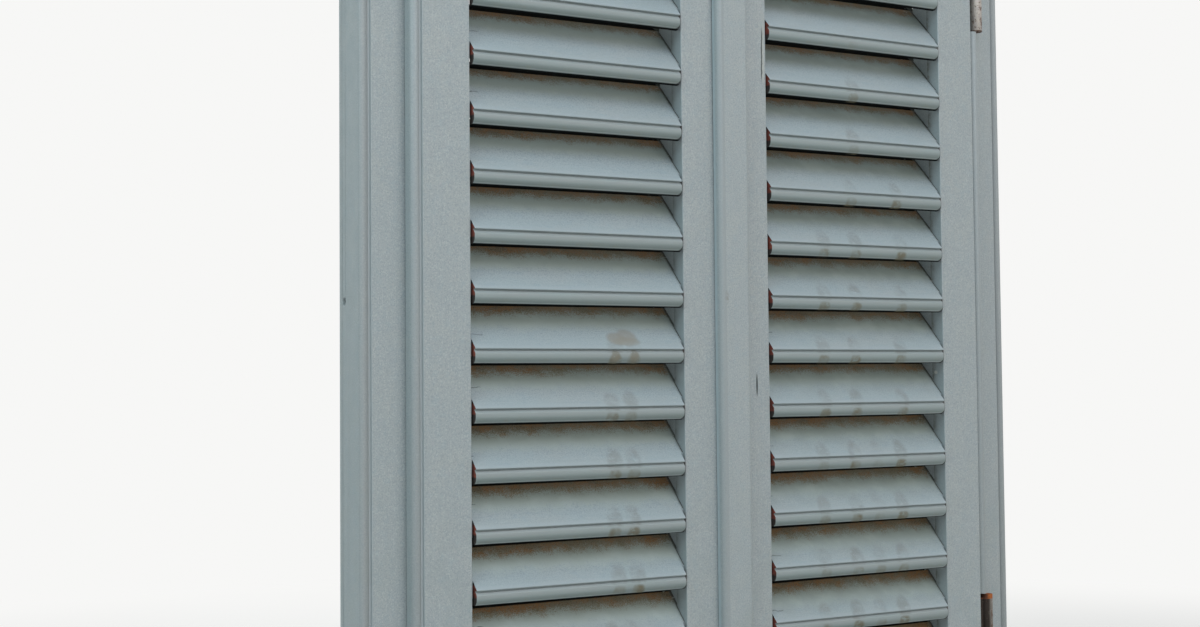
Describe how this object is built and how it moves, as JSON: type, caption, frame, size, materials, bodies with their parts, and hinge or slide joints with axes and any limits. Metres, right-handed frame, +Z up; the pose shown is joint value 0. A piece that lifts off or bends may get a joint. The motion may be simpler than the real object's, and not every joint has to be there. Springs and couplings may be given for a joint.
{
  "type": "louvred shutters",
  "caption": "Louvred wooden shutters hinged in a moulded frame, with fixed sloping slats, a cover strip over the meeting edges and a turning espagnolette bolt on the back.",
  "frame": {"origin": "middle of the sill's underside, across the pair and through the frame's depth", "axes": "+X across the pair to the leaf that carries the cover strip, +Y from the outdoor side to the indoor side, +Z up"},
  "size_m": [0.84, 0.0826, 1.2772],
  "materials": {
    "painted_wood": "satin pale grey-blue paint, weathered",
    "hinge_steel": "dull galvanised, rusted",
    "bolt_steel": "satin dark grey paint"
  },
  "bodies": {
    "frame": {"jamb_left": "painted_wood", "jamb_right": "painted_wood", "head": "painted_wood", "sill": "painted_wood", "left_top_hinge_frame_half": "hinge_steel", "left_bottom_hinge_frame_half": "hinge_steel", "right_top_hinge_frame_half": "hinge_steel", "right_bottom_hinge_frame_half": "hinge_steel", "espagnolette_keepers": "bolt_steel"},
    "left_leaf": {"left_hinge_stile": "painted_wood", "left_meeting_stile": "painted_wood", "left_top_rail": "painted_wood", "left_bottom_rail": "painted_wood", "left_slat_01": "painted_wood", "left_slat_02": "painted_wood", "left_slat_03": "painted_wood", "left_slat_04": "painted_wood", "left_slat_05": "painted_wood", "left_slat_06": "painted_wood", "left_slat_07": "painted_wood", "left_slat_08": "painted_wood", "left_slat_09": "painted_wood", "left_slat_10": "painted_wood", "left_slat_11": "painted_wood", "left_slat_12": "painted_wood", "left_slat_13": "painted_wood", "left_slat_14": "painted_wood", "left_slat_15": "painted_wood", "left_top_hinge_leaf_half": "hinge_steel", "left_bottom_hinge_leaf_half": "hinge_steel", "handle_catch": "bolt_steel"},
    "right_leaf": {"right_hinge_stile": "painted_wood", "right_meeting_stile": "painted_wood", "right_top_rail": "painted_wood", "right_bottom_rail": "painted_wood", "right_slat_01": "painted_wood", "right_slat_02": "painted_wood", "right_slat_03": "painted_wood", "right_slat_04": "painted_wood", "right_slat_05": "painted_wood", "right_slat_06": "painted_wood", "right_slat_07": "painted_wood", "right_slat_08": "painted_wood", "right_slat_09": "painted_wood", "right_slat_10": "painted_wood", "right_slat_11": "painted_wood", "right_slat_12": "painted_wood", "right_slat_13": "painted_wood", "right_slat_14": "painted_wood", "right_slat_15": "painted_wood", "cover_strip": "painted_wood", "right_top_hinge_leaf_half": "hinge_steel", "right_bottom_hinge_leaf_half": "hinge_steel", "espagnolette_guides": "bolt_steel"},
    "espagnolette": {"espagnolette_rod": "bolt_steel", "espagnolette_handle": "bolt_steel"}
  },
  "joints": [
    {"name": "right_leaf_hinge", "type": "hinge", "parent": "frame", "child": "right_leaf", "pos_m": [0.3768, -0.036, 0.6386], "axis": [0, 0, 1], "range_deg": [0, 170]},
    {"name": "left_leaf_hinge", "type": "hinge", "parent": "frame", "child": "left_leaf", "pos_m": [-0.3768, -0.036, 0.6386], "axis": [0, 0, 1], "range_deg": [-170, 0]},
    {"name": "espagnolette_turn", "type": "hinge", "parent": "right_leaf", "child": "espagnolette", "pos_m": [0.0285, 0.01782, 0.6386], "axis": [0, 0, 1], "range_deg": [0, 180]}
  ],
  "couplings": [
    {"joint": "left_leaf_hinge", "follows": "right_leaf_hinge", "ratio": -1}
  ]
}
